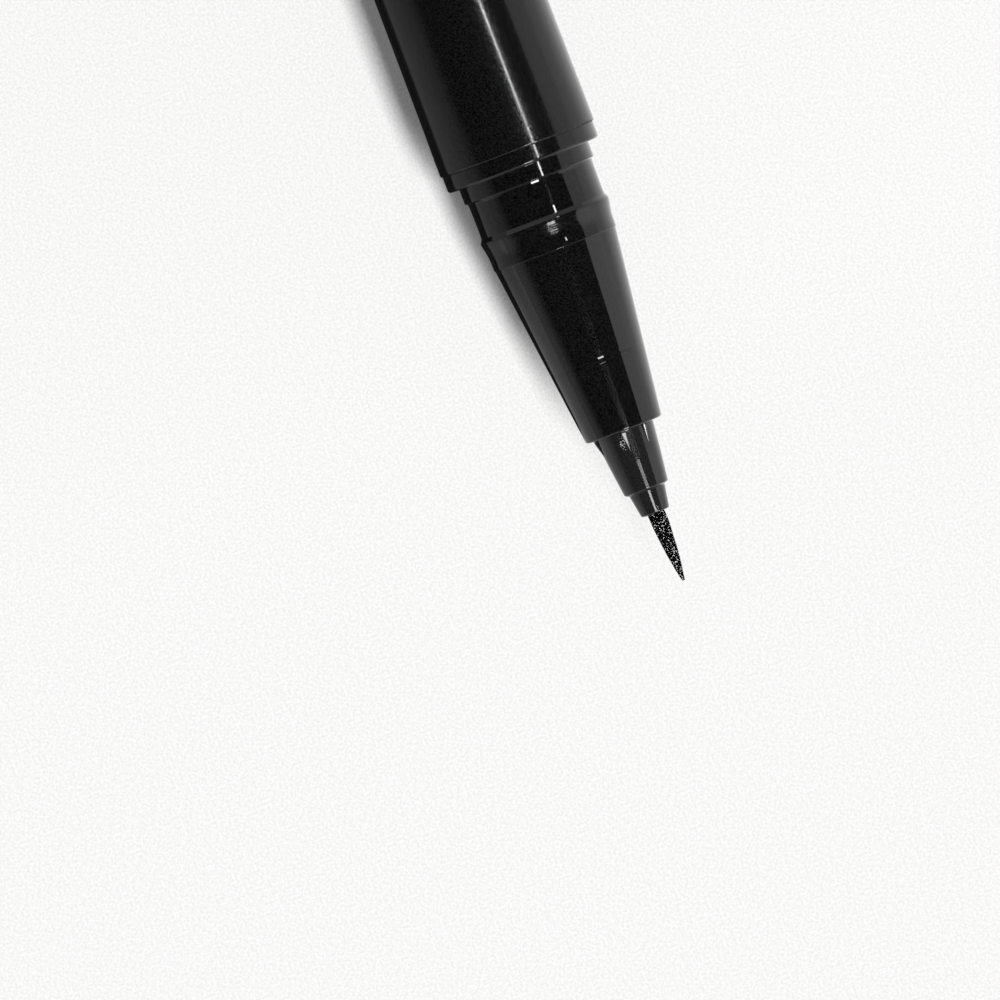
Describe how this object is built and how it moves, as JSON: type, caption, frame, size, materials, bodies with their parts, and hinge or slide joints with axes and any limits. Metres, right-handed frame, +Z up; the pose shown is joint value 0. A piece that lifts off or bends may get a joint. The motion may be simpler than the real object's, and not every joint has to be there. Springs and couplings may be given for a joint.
{
  "type": "liquid eyeliner pen",
  "caption": "Slim round liquid eyeliner pen with a fine brush tip on a stepped cone, its ink tank and comb collector inside, and its cap pushed on the tail.",
  "frame": {"origin": "on the surface the pen lies on, under its axis, half way along its length", "axes": "+X along the pen towards the brush tip, +Z up from the surface it lies on"},
  "size_m": [0.1556, 0.0106, 0.0106],
  "materials": {
    "barrel_plastic": "polished black moulding",
    "cap_plastic": "polished black moulding",
    "front_plastic": "polished black moulding with fine dust",
    "nozzle_plastic": "satin black moulding with fine dust",
    "bristles": "ink-wet nylon bristles",
    "feed_plastic": "satin natural moulding",
    "fibre": "ink-soaked polyester fibre",
    "tank_plastic": "satin natural moulding",
    "liner_plastic": "satin natural moulding",
    "steel": "bright stainless steel"
  },
  "bodies": {
    "pen": {"barrel": "barrel_plastic", "front_section": "front_plastic", "nozzle": "nozzle_plastic", "brush_tip": "bristles", "brush_retainer": "feed_plastic", "guide_pipe": "feed_plastic", "relay_core": "fibre", "collector": "feed_plastic", "tank_plug": "feed_plastic", "ink_tank": "tank_plastic", "tail_plug": "barrel_plastic"},
    "cap": {"cap_shell": "cap_plastic", "cap_crown": "cap_plastic", "inner_cap_spring": "steel"},
    "inner_seal": {"inner_cap": "liner_plastic"},
    "ball": {"mixing_ball": "steel"}
  },
  "joints": [
    {"name": "cap_pull", "type": "slide", "parent": "pen", "child": "cap", "axis": [-1, 0, 0], "range_m": [0, 0.03]},
    {"name": "inner_cap_press", "type": "slide", "parent": "cap", "child": "inner_seal", "axis": [-1, 0, 0], "range_m": [0, 0.0015], "stiffness_N_per_m": 300, "springref_m": -0.001, "deforming": ["inner_cap_spring"]},
    {"name": "ball_roll", "type": "slide", "parent": "pen", "child": "ball", "axis": [1, 0, 0], "range_m": [-0.0184, 0.0374]}
  ]
}
